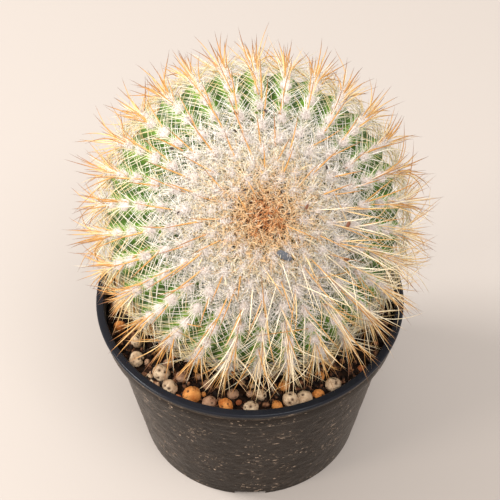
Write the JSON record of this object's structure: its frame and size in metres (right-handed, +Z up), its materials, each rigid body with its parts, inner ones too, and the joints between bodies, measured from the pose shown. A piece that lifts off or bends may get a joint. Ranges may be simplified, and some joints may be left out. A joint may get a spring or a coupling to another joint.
{
  "type": "potted round cactus",
  "caption": "Round ribbed cactus with white wool, pale bristles and golden spines, leaning in a small dark plastic nursery pot of gritty mix.",
  "frame": {"origin": "middle of the pot's foot, on the surface that it stands on", "axes": "+Z up along the pot's axis, -Y the front that the plant leans towards, +X to the right seen from the front"},
  "size_m": [0.1157, 0.115, 0.1518],
  "materials": {
    "pot_plastic": "satin, moulded, dusty under the collar",
    "potting_mix": "matte, dark crumbs",
    "cactus_skin": "matte green skin",
    "areole_wool": "matte white wool",
    "pale_bristles": "satin, fine and pale",
    "golden_spines": "satin golden amber, browner at the tips",
    "pellets": "matte, porous"
  },
  "bodies": {
    "root": {"pot": "pot_plastic", "potting_mix": "potting_mix", "cactus": "cactus_skin"}
  },
  "joints": []
}
